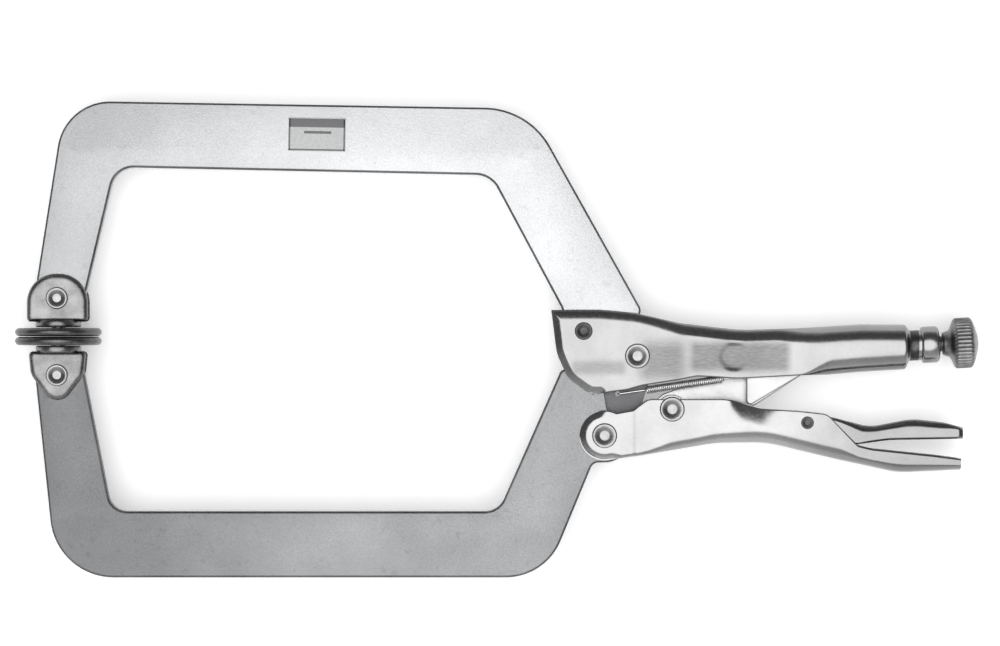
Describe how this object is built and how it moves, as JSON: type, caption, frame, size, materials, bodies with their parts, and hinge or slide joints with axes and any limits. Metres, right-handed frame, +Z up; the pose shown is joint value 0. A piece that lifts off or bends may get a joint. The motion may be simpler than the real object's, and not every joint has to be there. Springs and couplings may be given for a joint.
{
  "type": "locking c-clamp pliers",
  "caption": "Long-reach locking C-clamp with swivel pads, toggle link handles, release lever and a knurled adjusting screw.",
  "frame": {"origin": "under the middle of the tool lying flat: the middle of its length and width, on the plane that the pad discs stand on", "axes": "+X along the tool to the screw knob, +Y to the fixed upper arm, +Z up through the flat of the tool"},
  "size_m": [0.4563, 0.2252, 0.041],
  "materials": {
    "arm_steel": "bead blasted and nickel plated, satin",
    "handle_nickel": "bright nickel plate over pressed steel",
    "rivet_steel": "plated, darker in the seams",
    "dark_steel": "dark oiled steel",
    "pad_steel": "plated and tumbled",
    "spring_steel": "bright wire",
    "label_ink": "satin print on thin plate"
  },
  "bodies": {
    "root": {"upper_handle": "handle_nickel", "upper_arm": "arm_steel", "jaw_rivet": "dark_steel", "pivot_rivet": "rivet_steel", "label_plate": "label_ink", "thread_collar": "handle_nickel", "spring": "spring_steel"},
    "lower_jaw": {"lower_arm": "arm_steel", "lever_rivet": "rivet_steel"},
    "lever": {"lever": "handle_nickel", "link_rivet": "rivet_steel", "release_pin": "dark_steel"},
    "link": {"toggle_link": "arm_steel"},
    "release": {"release_lever": "handle_nickel"},
    "screw": {"adjusting_screw": "dark_steel"},
    "knob": {"screw_knob": "dark_steel"},
    "upper_pad": {"upper_pad_yoke": "pad_steel", "upper_pad_rivet": "rivet_steel", "upper_pad_stud": "rivet_steel"},
    "upper_disc": {"upper_pad_disc": "pad_steel"},
    "lower_pad": {"lower_pad_yoke": "pad_steel", "lower_pad_rivet": "rivet_steel", "lower_pad_stud": "rivet_steel"},
    "lower_disc": {"lower_pad_disc": "pad_steel"}
  },
  "joints": [
    {"name": "jaw_pivot", "type": "hinge", "parent": "root", "child": "lower_jaw", "pos_m": [0.0668, -0.008, 0.0205], "axis": [0, 0, 1], "range_deg": [0, 30], "deforming": ["spring"]},
    {"name": "lever_pivot", "type": "hinge", "parent": "lower_jaw", "child": "lever", "pos_m": [0.0513, -0.0456, 0.0205], "axis": [0, 0, 1], "range_deg": [-75.5, 0]},
    {"name": "link_pivot", "type": "hinge", "parent": "lever", "child": "link", "pos_m": [0.0832, -0.0331, 0.0205], "axis": [0, 0, 1], "range_deg": [0, 84.5]},
    {"name": "release_pivot", "type": "hinge", "parent": "lever", "child": "release", "pos_m": [0.1471, -0.0395, 0.0205], "axis": [0, 0, -1], "range_deg": [0, 7]},
    {"name": "screw_travel", "type": "slide", "parent": "root", "child": "screw", "axis": [0.9986, 0.0523, 0], "range_m": [0, 0.031]},
    {"name": "knob_spin", "type": "hinge", "parent": "screw", "child": "knob", "pos_m": [0.2114, -0.00233, 0.0205], "axis": [0.9986, 0.0523, 0], "range_deg": [0, 7260]},
    {"name": "upper_pad_tilt", "type": "hinge", "parent": "root", "child": "upper_pad", "pos_m": [-0.2074, 0.0194, 0.0205], "axis": [0, 0, 1], "range_deg": [0, 15.5]},
    {"name": "upper_disc_spin", "type": "hinge", "parent": "upper_pad", "child": "upper_disc", "pos_m": [-0.2074, 0.003, 0.0205], "axis": [0, 1, 0], "continuous": true},
    {"name": "lower_pad_tilt", "type": "hinge", "parent": "lower_jaw", "child": "lower_pad", "pos_m": [-0.2074, -0.017, 0.0205], "axis": [0, 0, 1], "range_deg": [-15.5, 0]},
    {"name": "lower_disc_spin", "type": "hinge", "parent": "lower_pad", "child": "lower_disc", "pos_m": [-0.2074, -0.001, 0.0205], "axis": [0, 1, 0], "continuous": true}
  ],
  "couplings": [
    {"joint": "lever_pivot", "follows": "jaw_pivot", "ratio": -2.5},
    {"joint": "link_pivot", "follows": "jaw_pivot", "ratio": 2.8},
    {"joint": "upper_pad_tilt", "follows": "jaw_pivot", "ratio": 0.5},
    {"joint": "lower_pad_tilt", "follows": "jaw_pivot", "ratio": -0.5},
    {"joint": "knob_spin", "follows": "screw_travel", "rad_per_m": 4081.6}
  ]
}
